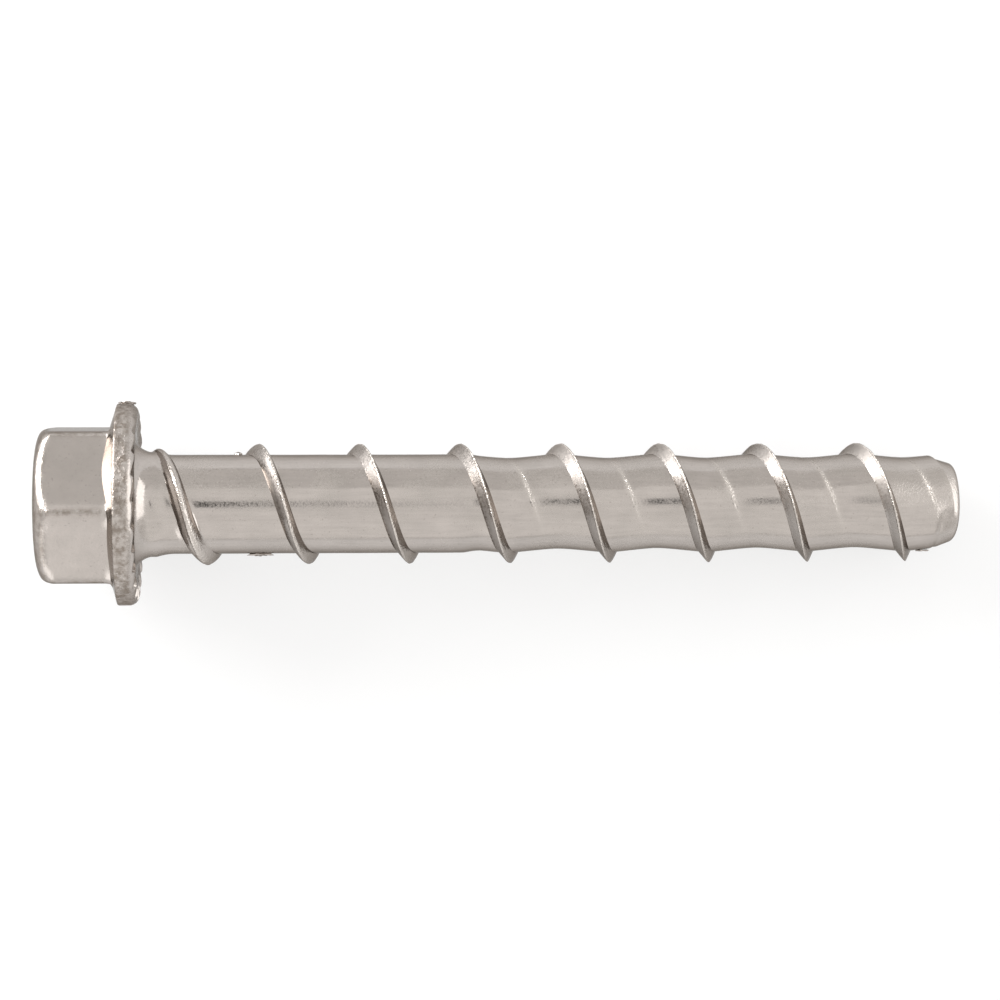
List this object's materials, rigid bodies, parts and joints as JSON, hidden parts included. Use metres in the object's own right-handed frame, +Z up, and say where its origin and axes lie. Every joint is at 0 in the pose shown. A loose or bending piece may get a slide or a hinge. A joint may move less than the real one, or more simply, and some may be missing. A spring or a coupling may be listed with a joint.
{
  "type": "concrete screw",
  "caption": "Hexagon washer-head screw for concrete, with ratchet teeth under the flange and a coarse rolled thread on a waisted shank.",
  "frame": {"origin": "on the table, under the middle of the box round the lying screw", "axes": "+X along the lying screw from head to tip, which dips a little; +Z up from the table"},
  "size_m": [0.1144, 0.0248, 0.0248],
  "materials": {
    "zinc_plated_steel": "satin zinc plating over rolled steel"
  },
  "bodies": {
    "root": {"screw": "zinc_plated_steel"}
  },
  "joints": []
}
